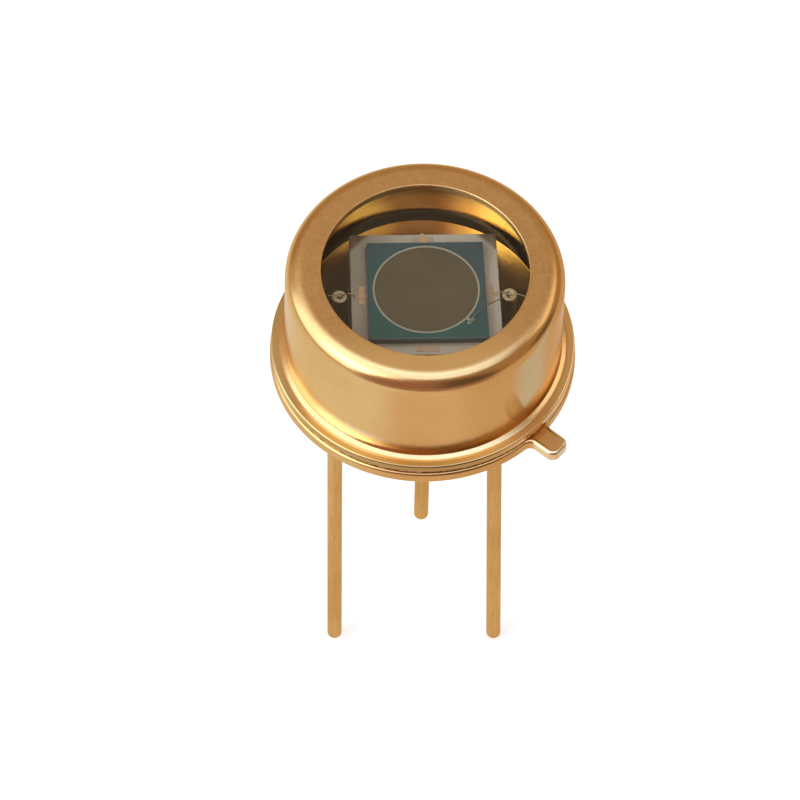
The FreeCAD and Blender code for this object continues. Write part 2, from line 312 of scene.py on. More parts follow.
def capFinish():
    finish, bench = newFinish("drawnGoldPlate")
    x, y, z = bench.place()
    radius = (x * x + y * y) ** 0.5
    ring = z.ease(4.40, 4.50)
    tone = goldTone(bench, gold["cap"], gold["shift"])
    # Painted reflection: the rim outside the crest is paler, and painted duller at the front and
    # left and paler at the right.
    outer = radius.ease(4.34, 4.40)
    rim = bench.mix(goldTone(bench, gold["rim"], gold["shift"]), (0.78, 0.56, 0.24),
                    outer * (-x).ease(3.0, 4.0))
    rim = bench.mix(rim, (0.52, 0.32, 0.12), outer * (-y - x * 0.3).ease(2.6, 4.4))
    rim = bench.mix(rim, (0.98, 0.72, 0.37), outer * x.ease(3.6, 4.3))
    tone = bench.mix(tone, rim, z.ease(0.95, 0.86))
    # Painted highlight and shade: the foot of the wall is painted paler at the left and browner
    # at the right.
    low = radius.ease(4.10, 4.14) * z.ease(1.60, 1.25) * z.ease(0.84, 0.90)
    tone = bench.mix(tone, (0.94, 0.82, 0.64), low * (-x).ease(0.6, 2.4))
    tone = bench.mix(tone, (0.42, 0.21, 0.06), low * x.ease(2.3, 3.3) * 0.7)
    # Inside, the wall is smoother and yellower, and has a redder, darker patch of painted
    # reflection behind the chip's right half.
    within = radius.ease(4.06, 4.00) * z.ease(4.30, 4.22)
    tone = bench.mix(tone, goldTone(bench, gold["inside"], 0.16), within)
    tone = bench.mix(tone, (0.66, 0.33, 0.10), within * x.ease(0.1, 0.8) * x.ease(2.1, 1.4) * 0.8)
    # Painted shade: the underside of the top is painted near black, and the foot of the wall
    # inside is painted dark.
    under = radius.ease(3.12, 3.16) * radius.ease(3.95, 3.90) * z.ease(3.95, 4.10) \
        * z.ease(4.30, 4.26)
    tone = bench.mix(tone, (0.045, 0.035, 0.030), under)
    foot = radius.ease(4.06, 4.00) * z.ease(1.75, 1.40) * (0.3 + abs(x).ease(2.4, 1.2) * 0.7)
    tone = bench.mix(tone, (0.12, 0.05, 0.035), foot)
    # The ring on top is mottled, and painted brighter towards the front as a painted highlight.
    grain = bench.noise(16.0, 3.0, 0.6)
    sandy = bench.noise(7.0, 4.0, 0.7).ease(0.25, 0.75)
    mottled = bench.mix((0.68, 0.40, 0.145), (0.88, 0.56, 0.235), sandy)
    tone = bench.mix(tone, mottled, ring * 0.6)
    frontSheen = z.ease(4.455, 4.495) * (-y).ease(1.9, 3.4)
    tone = bench.mix(tone, (0.98, 0.67, 0.275), frontSheen * 0.9)
    drawn = bench.noise(1.6, 4.0, 0.6, stretch=(6.0, 6.0, 0.5))
    rough = gold["roughness"] + ring * (gold["ringRoughness"] - gold["roughness"]) \
        + (grain - 0.5) * 0.10 + (drawn - 0.5) * 0.06 - within * 0.06
    dents = bench.bump(bench.noise(0.9, 2.0) * (1 + within * 1.5), 0.004)
    skin = bench.bump(grain, 0.0012, dents)
    dress(bench, Base_Color=tone, Metallic=1.0, Roughness=rough.most(0.06), Normal=skin,
          Specular_Tint=gold["edge"])
    return finish


def headerFinish():
    finish, bench = newFinish("stampedGoldPlate")
    x, y, z = bench.place()
    radius = (x * x + y * y) ** 0.5
    tone = goldTone(bench, gold["header"], gold["shift"])
    within = radius.ease(4.1, 4.0) * z.ease(0.36, 0.40)
    tone = bench.mix(tone, goldTone(bench, gold["inside"], 0.16), within)
    # The platform's top is painted duller and browner round the ceramic's foot as painted shade,
    # and has a pinkish-brown patch behind it.
    dusk = z.ease(1.40, 1.60) * radius.ease(3.40, 2.90)
    cloudy = bench.noise(1.3, 3.0).ease(0.30, 0.75)
    dusky = bench.mix((0.20, 0.13, 0.08), (0.30, 0.19, 0.11), cloudy)
    tone = bench.mix(tone, dusky, dusk * 0.6)
    patchMask = z.ease(1.55, 1.62) * (-x).ease(1.1, 0.5) * x.ease(2.0, 0.3) * y.ease(2.4, 2.8)
    tone = bench.mix(tone, (0.46, 0.28, 0.20), patchMask * 0.8)
    # Painted dark reflection: round the posts the platform is painted dark.
    darkReflection = z.ease(1.55, 1.62) * abs(x).ease(1.9, 2.25) * y.ease(1.25, 0.75)
    tone = bench.mix(tone, (0.11, 0.080, 0.100), darkReflection * 0.88)
    # Painted highlight: the tab is painted paler for the light its rounded edges catch.
    tone = bench.mix(tone, goldTone(bench, gold["tab"], gold["shift"]), radius.ease(4.66, 4.85))
    # Painted shade: the gap round the platform is painted dark red at its foot.
    gap = z.ease(0.34, 0.40) * z.ease(1.62, 1.35) * radius.ease(3.98, 3.90) \
        * (0.3 + abs(x).ease(2.4, 1.2) * 0.7)
    tone = bench.mix(tone, (0.12, 0.05, 0.035), gap * 0.9)
    grain = bench.noise(14.0, 3.0, 0.6)
    rough = 0.22 + (grain - 0.5) * 0.12 - within * 0.06
    skin = bench.bump(grain, 0.0012, bench.bump(bench.noise(1.1, 2.0), 0.004))
    dress(bench, Base_Color=tone, Metallic=1.0, Roughness=rough.most(0.06), Normal=skin,
          Specular_Tint=gold["edge"])
    return finish


# What all leads share: their circle round the can's axis, their wire, and where their lean
# starts and is full, measured down from the header.
leadSizes = {"circle": 2.54, "radius": 0.228, "tip": 0.17, "postEdge": 0.05, "dish": 0.05,
             "dishRadius": 0.105, "swayFrom": 0.3, "swayAt": 5.0, "around": 40}


def leadFinish():
    finish, bench = newFinish("goldPlatedLeadWire")
    x, y, z = bench.place()
    tone = goldTone(bench, gold["lead"], 0.16)
    streak = bench.noise(3.0, 3.0, 0.6, stretch=(3.0, 3.0, 0.4)).ease(0.35, 0.75)
    tone = bench.mix(tone, (0.48, 0.26, 0.09), streak * 0.35)
    shade = z.ease(0.4, 1.0) * z.ease(2.88, 2.80)  # painted shade: the shafts inside the can are painted dark
    tone = bench.mix(tone, (0.088, 0.070, 0.065), shade * 0.87)
    # The post ends are pale and matt, and their dimple is painted dark as painted shade.
    end = z.ease(2.82, 2.87)
    off = ((abs(x) - leadSizes["circle"]) ** 2.0 + y * y) ** 0.5
    tone = bench.mix(tone, (0.80, 0.62, 0.35), end)
    tone = bench.mix(tone, (0.12, 0.085, 0.04), z.ease(2.80, 2.84) * off.ease(0.095, 0.06))
    grain = bench.noise(18.0, 3.0, 0.6)
    skin = bench.bump(grain, 0.0018, bench.bump(bench.noise(1.5, 2.0), 0.004))
    dress(bench, Base_Color=tone, Metallic=1.0 - end * 0.75,
          Roughness=0.30 + (grain - 0.5) * 0.16 + end * 0.1,
          Normal=skin, Specular_Tint=gold["edge"])
    return finish


def weldFinish():
    finish, bench = newFinish("weldBead")
    # The pale spots on the dark bead are painted glints.
    spots = bench.noise(7.0, 3.0, 0.6).ease(0.35, 0.65)
    tone = bench.mix((0.34, 0.25, 0.19), (0.85, 0.74, 0.58), spots.ease(0.5, 1.0))
    dress(bench, Base_Color=tone, Metallic=1.0, Roughness=0.30 + spots * 0.10,
          Normal=bench.bump(bench.noise(12.0, 3.0), 0.003))
    return finish


def sealGlassFinish():
    finish, bench = newFinish("darkSealingGlass")
    swirl = bench.noise(2.2, 4.0, 0.6, distortion=0.6).ease(0.3, 0.7)
    tone = bench.mix((0.012, 0.020, 0.026), (0.035, 0.050, 0.055), swirl)
    dress(bench, Base_Color=tone, Roughness=0.10 + swirl * 0.10, IOR=1.5,
          Normal=bench.bump(bench.noise(2.0, 2.0), 0.006))
    return finish


def windowFinish():
    # Clear glass that lamps shine straight through.
    finish, bench = newFinish("clearWindowGlass")
    haze = bench.noise(0.8, 2.0).ease(0.3, 0.7)
    tone = bench.mix((0.94, 0.965, 0.96), (0.965, 0.975, 0.97), haze)
    glass = bench.node("ShaderNodeBsdfPrincipled", inputs={
        "Base Color": tone, "Roughness": 0.0, "IOR": 1.5, "Transmission Weight": 1.0,
        "Specular IOR Level": 0.03})
    clear = bench.node("ShaderNodeBsdfTransparent", inputs={"Color": (0.95, 0.965, 0.96, 1)})
    passing = bench.node("ShaderNodeLightPath", out="Is Shadow Ray").most(
        bench.node("ShaderNodeLightPath", out="Is Diffuse Ray"))
    both = bench.node("ShaderNodeMixShader", inputs={0: passing, 1: glass, 2: clear})
    bench.node("ShaderNodeOutputMaterial", inputs={"Surface": both})
    return finish


def sealFinish():
    finish, bench = newFinish("windowSolderSeal")
    grain = bench.noise(5.0, 3.0).ease(0.3, 0.7)
    tone = bench.mix((0.16, 0.13, 0.10), (0.27, 0.23, 0.18), grain)
    dress(bench, Base_Color=tone, Roughness=0.45, Metallic=0.4,
          Normal=bench.bump(grain, 0.004))
    return finish


def bondFinish(name, deep, pale):
    finish, bench = newFinish(name)
    grain = bench.noise(12.0, 4.0, 0.65).ease(0.3, 0.7)
    tone = bench.mix(deep, pale, grain)
    dress(bench, Base_Color=tone, Roughness=0.55, Metallic=0.3,
          Normal=bench.bump(grain, 0.004))
    return finish


def ceramicFinish():
    finish, bench = newFinish("greyCeramic")
    x, y, z = bench.place()
    grain = bench.noise(22.0, 3.0, 0.6)
    cloud = bench.noise(1.1, 3.0).ease(0.3, 0.7)
    tone = bench.mix((0.48, 0.38, 0.275), (0.55, 0.44, 0.32), cloud)
    # Painted light: the plate is painted paler towards the back right and along its near edge.
    pale = bench.mix((0.74, 0.63, 0.51), (0.82, 0.70, 0.575), cloud)
    tone = bench.mix(tone, pale, (x + y * 0.8).ease(-1.2, 2.0))
    tone = bench.mix(tone, (0.80, 0.655, 0.51), (-y).ease(1.78, 1.95) * 0.9)
    tone = bench.mix(tone, (0.27, 0.24, 0.20), grain.ease(0.62, 0.75) * 0.4)
    # Brownish patches of painted reflection fill the two far corners, cut off at a slant.
    corner = (abs(x) - (3.86 - y) * 0.98).ease(-0.14, 0.10)
    cornerBreakup = bench.noise(3.0, 3.0).ease(0.25, 0.6)
    tone = bench.mix(tone, (0.19, 0.105, 0.06), corner * (0.72 + cornerBreakup * 0.25))
    tone = bench.mix(tone, (0.10, 0.075, 0.06), z.ease(2.93, 2.86))  # the sides are in the dark
    dress(bench, Base_Color=tone, Roughness=0.42 + (grain - 0.5) * 0.2,
          Normal=bench.bump(grain, 0.0015))
    return finish


def padFinish():
    finish, bench = newFinish("firedGoldPad")
    x, y = bench.place()[:2]
    grain = bench.noise(16.0, 4.0, 0.7).ease(0.3, 0.7)
    tone = bench.mix((0.84, 0.46, 0.22), (0.97, 0.58, 0.30), grain)
    # The far pad is worn through to the ceramic but for its middle, the right and near are thin.
    patchMask = y.ease(1.5, 1.6) * abs(x).ease(0.06, 0.12) * 0.85
    thin = x.ease(1.4, 1.6).most((-y).ease(1.7, 1.9)) * 0.45
    tone = bench.mix(tone, (0.60, 0.49, 0.38), patchMask.most(thin))
    dress(bench, Base_Color=tone, Roughness=0.42,
          Normal=bench.bump(grain, 0.002))
    return finish


def chipFinish():
    finish, bench = newFinish("tealChip")
    x, y, z = bench.place()
    cloud = bench.noise(0.9, 3.0).ease(0.3, 0.7)
    across = (x * 0.5 + y).ease(-1.9, 1.9)
    tone = bench.mix((0.008, 0.118, 0.102), (0.042, 0.092, 0.112), across)
    tone = bench.mix(tone, (0.026, 0.108, 0.105), cloud * 0.4)
    saw = z.ease(3.175, 3.15)
    tone = bench.mix(tone, (0.047, 0.115, 0.165), saw)
    # The sawn edge nearest the viewer catches the light as a fine pale line.
    line = (-y).ease(1.735, 1.760) * z.ease(3.165, 3.175)
    tone = bench.mix(tone, (0.10, 0.135, 0.130), line)
    dress(bench, Base_Color=tone, Roughness=0.34 + saw * 0.2, IOR=1.45)
    return finish


def activeFinish():
    finish, bench = newFinish("oliveActiveArea")
    speck = bench.noise(24.0, 3.0, 0.6)
    cloud = bench.noise(0.8, 2.0).ease(0.3, 0.7)
    tone = bench.mix((0.116, 0.084, 0.044), (0.131, 0.097, 0.053), cloud)
    tone = bench.mix(tone, (0.146, 0.110, 0.063), speck.ease(0.45, 0.75) * 0.5)
    dress(bench, Base_Color=tone, Roughness=0.36, IOR=1.45)
    return finish


def ringFinish():
    finish, bench = newFinish("paleContactMetal")
    grain = bench.noise(20.0, 3.0).ease(0.3, 0.7)
    tone = bench.mix((0.40, 0.385, 0.29), (0.52, 0.50, 0.385), grain)
    dress(bench, Base_Color=tone, Metallic=0.35, Roughness=0.4)
    return finish


def bondWireFinish():
    finish, bench = newFinish("fineGoldWire")
    grain = bench.noise(14.0, 2.0).ease(0.3, 0.7)
    y = bench.place()[1]
    tone = bench.mix((0.50, 0.33, 0.20), (0.68, 0.47, 0.30), grain)
    # Near the viewer, over the chip, the wire is painted dark as painted shade.
    tone = bench.mix(tone, (0.19, 0.18, 0.14), (-y).ease(0.12, 0.3))
    dress(bench, Base_Color=tone, Metallic=0.7, Roughness=0.38,
          Normal=bench.bump(grain, 0.0008))
    return finish


capGold, headerGold, leadGold = capFinish(), headerFinish(), leadFinish()
ceramicGrey, padGold, wireGold = ceramicFinish(), padFinish(), bondWireFinish()
print("finishes made")


# Cap

capSizes = {
    "aperture": 3.10, "wall": 4.17, "inside": 3.92, "rim": 4.57,
    "top": 4.50, "underTop": 4.25, "shoulder": 0.53, "shoulderInside": 0.28,
    "lipAbove": 0.03, "lipBelow": 0.02,
    "crest": 0.85, "crestBend": 0.03, "crestRun": 0.13, "crestFoot": 0.787, "footBend": 0.20,
    "rimTop": 0.76, "seat": 0.50, "edge": 0.065, "bendInside": 0.28, "around": 320,
}


def buildCap(s):
    # The drawn sheet's section: the flange falls steeply beside the wall, then almost level.
    line = softLine([
        (s["aperture"], (s["top"] + s["underTop"]) / 2),
        (s["aperture"], s["top"], s["lipAbove"]),
        (s["wall"], s["top"], s["shoulder"]),
        (s["wall"], s["crest"], s["crestBend"]),
        (s["wall"] + s["crestRun"], s["crestFoot"], s["footBend"]),
        (s["rim"], s["rimTop"], s["edge"]),
        (s["rim"], s["seat"], s["edge"]),
        (s["inside"], s["seat"], s["bendInside"]),
        (s["inside"], s["underTop"], s["shoulderInside"]),
        (s["aperture"], s["underTop"], s["lipBelow"]),
        (s["aperture"], (s["top"] + s["underTop"]) / 2),
    ], perArc=16)
    makePiece("drawnCap", [turnedGrid(line, s["around"])], capGold, ["cap"])


buildCap(capSizes)


# Header: flange with its index tab, raised platform and open hollow

headerSizes = {
    "platform": 3.72, "platformTop": 1.65, "shoulder": 0.06, "root": 0.12,
    "flange": 4.60, "flangeTop": 0.40, "edge": 0.10, "weldCircle": 4.35,
    "hollow": 3.44, "mouth": 0.09, "hollowTop": 0.60, "around": 420,
    "tabAngle": -42.6, "tabWidth": 0.76, "tabReach": 5.50, "tabTip": 0.27, "tabRoot": 0.20,
}


def arcPoints(centre, radius, fromAngle, toAngle, count):
    t = np.linspace(fromAngle, toAngle, count)
    return np.column_stack([centre[0] + radius * np.cos(t), centre[1] + radius * np.sin(t)])


def flangeOutline(s):
    # Rim circle, concave root arc, straight side and tip arc of the tab, then the same mirrored.
    half, root, tip = s["tabWidth"] / 2, s["tabRoot"], s["tabTip"]
    rootX = math.sqrt((s["flange"] + root) ** 2 - (half + root) ** 2)
    start = math.atan2(half + root, rootX)
    rim = arcPoints((0, 0), s["flange"], start, 2 * math.pi - start, s["around"])
    rootArc = arcPoints((rootX, -half - root), root, math.pi - start, math.pi / 2, 9)
    side = np.column_stack([np.linspace(rootX, s["tabReach"] - tip, 7)[1:-1],
                            np.full(5, -half)])
    tipArc = arcPoints((s["tabReach"] - tip, -half + tip), tip, -math.pi / 2, 0, 9)
    end = np.column_stack([np.full(3, s["tabReach"]),
                           np.linspace(-half + tip, half - tip, 5)[1:-1]])
    halfTab = np.vstack([rootArc, side, tipArc])
    outline = np.vstack([rim[:-1], halfTab, end, (halfTab * [1, -1])[::-1][:-1]])
    return turnedFlat(outline, s["tabAngle"])


def buildHeader(s):
    outline = flangeOutline(s)
    outline = np.vstack([outline, outline[:1]])
    turn = np.gradient(outline, axis=0)
    turn[0] = turn[-1] = outline[1] - outline[-2]
    normal = np.stack([turn[:, 1], -turn[:, 0]], axis=1)
    normal /= np.linalg.norm(normal, axis=1, keepdims=True)
    t = np.arctan2(outline[:, 1], outline[:, 0])
    spokes = np.stack([np.cos(t), np.sin(t)], axis=1)

    def circles(line):
        # Each line point on its own circle, at the angles of the outline's points.
        return np.stack([np.column_stack([spokes * r, np.full(len(t), z)]) for r, z in line])

    def rims(line):
        # Each (inset, z) as the outline stepped inwards along its own normal.
        return np.stack([np.column_stack([outline - normal * a, np.full(len(t), z)])
                         for a, z in line])

    top = circles(softLine([
        (0, s["platformTop"]), (s["platform"], s["platformTop"], s["shoulder"]),
        (s["platform"], s["flangeTop"], s["root"]), (s["weldCircle"], s["flangeTop"])],
        perArc=14))
    beyond = s["edge"] + 0.03  # the flat next to the rounded edge belongs to the edge's strip
    edge = rims(softLine([
        (beyond, s["flangeTop"]), (0, s["flangeTop"], s["edge"]),
        (0, 0, s["edge"]), (beyond, 0)], perArc=8))
    below = circles(softLine([
        (s["weldCircle"], 0), (s["hollow"], 0, s["mouth"]), (s["hollow"], s["hollowTop"]),
        (0, s["hollowTop"])], perArc=8))
    grid = np.concatenate([top, edge, below])
    makePiece("stampedHeader", [grid], headerGold, ["header_shell"])


buildHeader(headerSizes)


# Weld bead that shows in the corner between the two flanges

beadSizes = {"radius": 4.475, "height": 0.45, "thick": 0.036, "tall": 0.052, "lump": 0.30,
             "around": 1400}


def buildBead(s):
    # A tube round the seam whose thickness follows a sum of sines, so it runs in small beads.
    t = np.linspace(0, 2 * math.pi, s["around"] + 1)
    lump = (np.sin(61 * t) + np.sin(97 * t + 1.3) + np.sin(23 * t + 0.4)) / 3
    thick = s["thick"] * (1 + s["lump"] * lump)
    u = np.linspace(0, 2 * math.pi, 11)[:, None]
    r = s["radius"] + thick * np.cos(u)
    z = s["height"] + s["tall"] * np.sin(u) + 0 * t
    grid = np.stack([r * np.cos(t), r * np.sin(t), z], axis=-1)
    makePiece("seamBead", [grid], weldFinish(), ["weld_flash"])


buildBead(beadSizes)


# Leads with rounded tips and dished post ends

leftLead = {"centre": (-leadSizes["circle"], 0), "bottom": -15.36, "top": 2.90,
            "dished": True, "sway": (-0.05, 0.047)}
rightLead = {"centre": (leadSizes["circle"], 0), "bottom": -15.50, "top": 2.90,
             "dished": True, "sway": (-0.225, 0.04)}
caseLead = {"centre": (0, leadSizes["circle"]), "bottom": -12.43, "top": 1.57,
            "dished": False, "sway": (0.255, 0.285)}


def leadLine(s):
    # Half the lead's section from its tip up; the long side is divided so that it can lean.
    bottom, top, floor = s["bottom"], s["top"], s["top"] - s["dish"]
    side = [(s["radius"], z) for z in np.linspace(bottom + 0.5, -0.1, 48)]
    end = [(s["dishRadius"] + 0.015, top, 0.012), (s["dishRadius"] - 0.03, floor, 0.02),
           (0, floor)] if s["dished"] else [(0, top)]
    return softLine([(0, bottom), (s["radius"], bottom, s["tip"])] + side
                    + [(s["radius"], top, s["postEdge"])] + end, perArc=8)


def buildLead(name, node, s):
    # The turned line; below the header its axis leans aside: smooth step down to swayAt *
    # (first sway * share of the length that is left + second sway * the rest).
    grid = turnedGrid(leadLine(s), s["around"])
    down = np.clip((-grid[..., 2] - s["swayFrom"]) / (s["swayAt"] - s["swayFrom"]), 0, 1)
    left = np.clip((grid[..., 2] - s["bottom"]) / (-s["bottom"] - s["swayAt"]), 0, 1)
    lean = s["sway"][0] * left + s["sway"][1] * (1 - left)
    grid[..., 0] += s["centre"][0] + lean * down ** 2 * (3 - 2 * down)
    grid[..., 1] += s["centre"][1]
    makePiece(name, [grid], leadGold, [node])


for name, node, own in (("leftLead", "lead_left", leftLead),
                        ("rightLead", "lead_right", rightLead),
                        ("caseLead", "lead_case", caseLead)):
    buildLead(name, node, {**leadSizes, **own})


# Sealing glass: the fill under the header and the collars round the leads

glassSizes = {
    "fill": 3.438, "fillBottom": 0.10, "fillTop": 0.50, "climb": 0.07, "spread": 0.20,
    "collar": 0.55, "collarTop": 1.652, "sag": 0.012, "fillHidden": 0.20, "collarHidden": 1.60,
}


def buildGlass(s):
    circle, wire = leadSizes["circle"], leadSizes["radius"] - 0.01  # starts just in the wire
    fill = softLine([(0, s["fillTop"]), (s["fill"], s["fillTop"]),
                     (s["fill"], s["fillBottom"]), (0, s["fillBottom"])])
    grids = [turnedGrid(fill, 160)]
    u = np.linspace(0, 1, 9)
    rise = s["climb"] * (1 - u) ** 2.2  # the glass creeps up each wire and thins out
    # Hanging collars: height = fill's bottom - rise; standing ones = top + rise - sag * sin.
    hanging = (wire + s["spread"] * u, s["fillBottom"] - rise + 0.001, s["fillHidden"])
    standing = (wire + (s["collar"] - wire) * u,
                s["collarTop"] + rise * 0.9 - s["sag"] * np.sin(math.pi * u), s["collarHidden"])
    pins = [(-circle, 0), (circle, 0), (0, circle)]
    for (reach, height, hidden), around, centres in ((hanging, 40, pins),
                                                     (standing, 48, pins[:2])):
        line = np.vstack([[[wire, hidden]], np.column_stack([reach, height]),
                          [[reach[-1], hidden]]])
        grids += [turnedGrid(line, around, pin, closed=True) for pin in centres]
    makePiece("sealingGlass", grids, sealGlassFinish(), ["header_glass"])


buildGlass(glassSizes)


# Ceramic plate, chip and the metal on them. The chip sits a hair to the right of the middle
# and nearer the viewer, as it was placed, and its paste shows as a narrow hem.

plateSizes = {"half": 2.205, "place": (0, 0), "longer": 1.0, "corner": 0.05, "wander": 0.004,
              "seed": 1, "bottom": 1.75, "top": 2.95, "edge": 0.03, "steps": 4, "hug": 0.01}
chipSizes = {"half": 1.735, "place": (0.045, -0.03), "longer": 1.017, "corner": 0.02,
             "wander": 0.002, "seed": 4, "bottom": 2.953, "top": 3.18, "edge": 0.012,
             "steps": 3, "hug": 0.01}
pasteSizes = {"half": 1.775, "place": (0.025, 0), "longer": 1.0, "corner": 0.05,
              "wander": 0.01, "seed": 7, "bottom": 2.948, "top": 2.958, "edge": 0.004,
              "steps": 3, "hug": 0.004}
padSizes = {
    "places": {"Right": (0, 1.925, -0.045), "Back": (90, 1.9975, 0),
               "Left": (180, 1.875, -0.045), "Front": (270, 1.9975, 0)},
    "barX": 0.09, "barY": 0.335, "armIn": 0.14, "armOut": 0.22, "armY": 0.055,
    "corner": 0.018, "bottom": 2.947, "top": 2.97, "edge": 0.008,
}
ringSizes = {
    "outer": 1.60, "inner": 1.54, "middle": (0.045, 0), "bottom": 3.177, "top": 3.20,
    "edge": 0.006, "tabAngle": -42.0, "stemWide": 0.10, "stemLong": 0.10, "stemHidden": 0.03,
    "stemCorner": 0.01, "barWide": 0.26, "barLong": 0.09, "barCorner": 0.018,
}
filmSizes = {"radius": 1.544, "middle": (0.045, 0), "bottom": 3.178, "top": 3.188}
splay = 0.10  # how far the near right corner of the plate and the chip stands out


def box(halfX, halfY):
    return [(-halfX, -halfY), (halfX, -halfY), (halfX, halfY), (-halfX, halfY)]


def splayed(outline):
    # x + splay * share across the plate * share of the way towards the viewer.
    share = outline / (2 * plateSizes["half"])
    across, near = 0.5 + share[:, :1], 0.5 - share[:, 1:]
    return outline + np.hstack([splay * across * near, 0 * near])


def buildSlab(name, s, finish, node):
    # A square whose sawn sides wander in and out by a few microns:
    # outline * (1 - wander * (1 + sum of three sines) / half).
    outline = cornered(box(s["half"], s["half"]), s["corner"], 3, 0.05)
    dice = np.random.default_rng(s["seed"])
    t = np.linspace(0, 2 * math.pi, len(outline), endpoint=False)
    ripple = sum(np.sin(k * t + p) / 3 for k, p in zip((31, 47, 83), dice.uniform(0, 6, 3)))
    outline = outline * (1 - s["wander"] * (1 + ripple)[:, None] / s["half"])
    outline = splayed(outline * [1, s["longer"]] + s["place"])
    rows = roundedRows(s["bottom"], s["top"], s["edge"], s["steps"], s["hug"])
    makePiece(name, [plateGrid(outline, rows)], finish, [node])


def buildPads(s):
    barX, barY, armIn, armOut, armY = (s[k] for k in ("barX", "barY", "armIn", "armOut", "armY"))
    cross = [(-barX, -barY), (barX, -barY), (barX, -armY), (armOut, -armY), (armOut, armY),
             (barX, armY), (barX, barY), (-barX, barY), (-barX, armY), (-armIn, armY),
             (-armIn, -armY), (-barX, -armY)]
    outline = cornered(cross, s["corner"], 3, 0.04)
    rows = roundedRows(s["bottom"], s["top"], s["edge"], 3, 0.004)
    for name, (angle, out, lower) in s["places"].items():
        flat = splayed(turnedFlat(outline + [out, 0], angle, (0, lower)))
        makePiece("pad" + name, [plateGrid(flat, rows)], padGold,
                  ["pad_" + name.lower()])


def buildRing(s):
    # A low flat ring with rounded edges, and the stem and bar of its bond tab.
    ring = softLine([(s["inner"], s["bottom"]), (s["inner"], s["top"], s["edge"]),
                     (s["outer"], s["top"], s["edge"]), (s["outer"], s["bottom"])], 4, 0.004)
    grids = [turnedGrid(ring, 240, s["middle"], closed=True)]
    rows = roundedRows(s["bottom"], s["top"], s["edge"], 3, 0.004)
    stemHalf, barHalf = s["stemLong"] / 2 + s["stemHidden"], s["barLong"] / 2
    stem = cornered(box(stemHalf, s["stemWide"] / 2), s["stemCorner"], 3, 0.03)
    bar = cornered(box(barHalf, s["barWide"] / 2), s["barCorner"], 4, 0.03)
    for flat, out in ((stem, s["outer"] - s["stemHidden"] + stemHalf),
                      (bar, s["outer"] + s["stemLong"] + barHalf)):
        flat = turnedFlat(flat + [out, 0], s["tabAngle"], s["middle"])
        grids.append(plateGrid(flat, rows))
    makePiece("contactRing", grids, ringFinish(), ["contact_ring"])


def buildFilm(s):
    film = softLine([(0, s["top"]), (s["radius"], s["top"]), (s["radius"], s["bottom"]),
                     (0, s["bottom"])])
    makePiece("activeArea", [turnedGrid(film, 160, s["middle"])], activeFinish(),
              ["chip_film"])


buildSlab("ceramicPlate", plateSizes, ceramicGrey, "substrate")
buildSlab("sensorChip", chipSizes, chipFinish(), "chip")
buildSlab("chipPaste", pasteSizes,
          bondFinish("chipBondPaste", (0.25, 0.20, 0.205), (0.36, 0.295, 0.29)),
          "chip_bond")
buildPads(padSizes)
buildRing(ringSizes)
buildFilm(filmSizes)
refinish("substrate_bond", bondFinish("plateBondPaste", (0.10, 0.085, 0.075),
                                      (0.20, 0.17, 0.145)))


# Bond wires: each is pressed flat at both ends and loops between them

wireSizes = {
    "radius": 0.018, "chipRadius": 0.014, "footWide": 1.8, "footThin": 0.5, "footReach": 0.07,
    "pad": 2.0275, "padTop": 2.985, "low": -0.045, "post": 2.47, "postTop": 2.915,
    "chipTop": 3.214,
}


def wirePiece(name, node, points, flatAt, s, radius):
    # The path's tube, wider and thinner near each pressed place: 1 + (wide - 1) exp(-(d/w)^4).
    path = smoothPath(points, 90)
    press = np.zeros(len(path))
    for place in flatAt:
        gap = np.linalg.norm(path - np.array(place), axis=1)
        press = np.maximum(press, np.exp(-(gap / s["footReach"]) ** 4))
    flat = np.stack([1 + (s["footWide"] - 1) * press, 1 + (s["footThin"] - 1) * press], axis=1)
    makePiece(name, [tubeGrid(path, radius, 14, flat)], wireGold, [node],
              sharpAbove=60.0)


def buildWires(s):
    # Each pad's wire: its foot on the pad, a low loop to the post, and a tail past it.
    pad, padTop, low, post, postTop = (s[k] for k in ("pad", "padTop", "low", "post", "postTop"))
    tails = {"left": [(2.56, -0.004, postTop + 0.01), (2.72, -0.012, 2.965),
                      (2.88, -0.022, 2.955)],
             "right": [(2.56, -0.010, postTop + 0.01), (2.74, -0.045, 2.965),
                       (3.00, -0.130, 2.950)]}
    for side, tail in tails.items():
        aside = [-1 if side == "left" else 1, 1, 1]
        path = [(pad - 0.06, low, padTop), (pad + 0.02, low, padTop), (2.15, low * 0.8, 3.045),
                (2.30, low * 0.5, 3.035), (post - 0.01, 0, postTop + 0.012)] + tail
        pressed = [(pad, low, padTop), (post + 0.03, 0, postTop + 0.01)]
        wirePiece(side + "BondWire", "wire_" + side, np.array(path) * aside,
                  np.array(pressed) * aside, s, s["radius"])
    # The chip's wire starts on the middle of the ring's tab and ends on the right post.
    out = ringSizes["outer"] + ringSizes["stemLong"] + ringSizes["barLong"] / 2
    angle, chipTop = math.radians(ringSizes["tabAngle"]), s["chipTop"]
    tabX = ringSizes["middle"][0] + out * math.cos(angle)
    tabY = out * math.sin(angle)
    wirePiece("chipBondWire", "wire_chip", [
        (tabX - 0.05, tabY - 0.045, chipTop), (tabX + 0.02, tabY + 0.02, chipTop),
        (1.50, -0.98, 3.30), (1.86, -0.68, 3.32), (2.28, -0.33, 3.12),
        (2.52, -0.135, postTop + 0.012), (2.58, -0.085, postTop + 0.008)],
        [(tabX, tabY, chipTop), (2.55, -0.11, postTop + 0.01)], s, s["chipRadius"])


buildWires(wireSizes)


# Window and its seal keep their CAD shapes

refinish("window", windowFinish())
refinish("window_seal", sealFinish())
print("pieces made")


# Studio

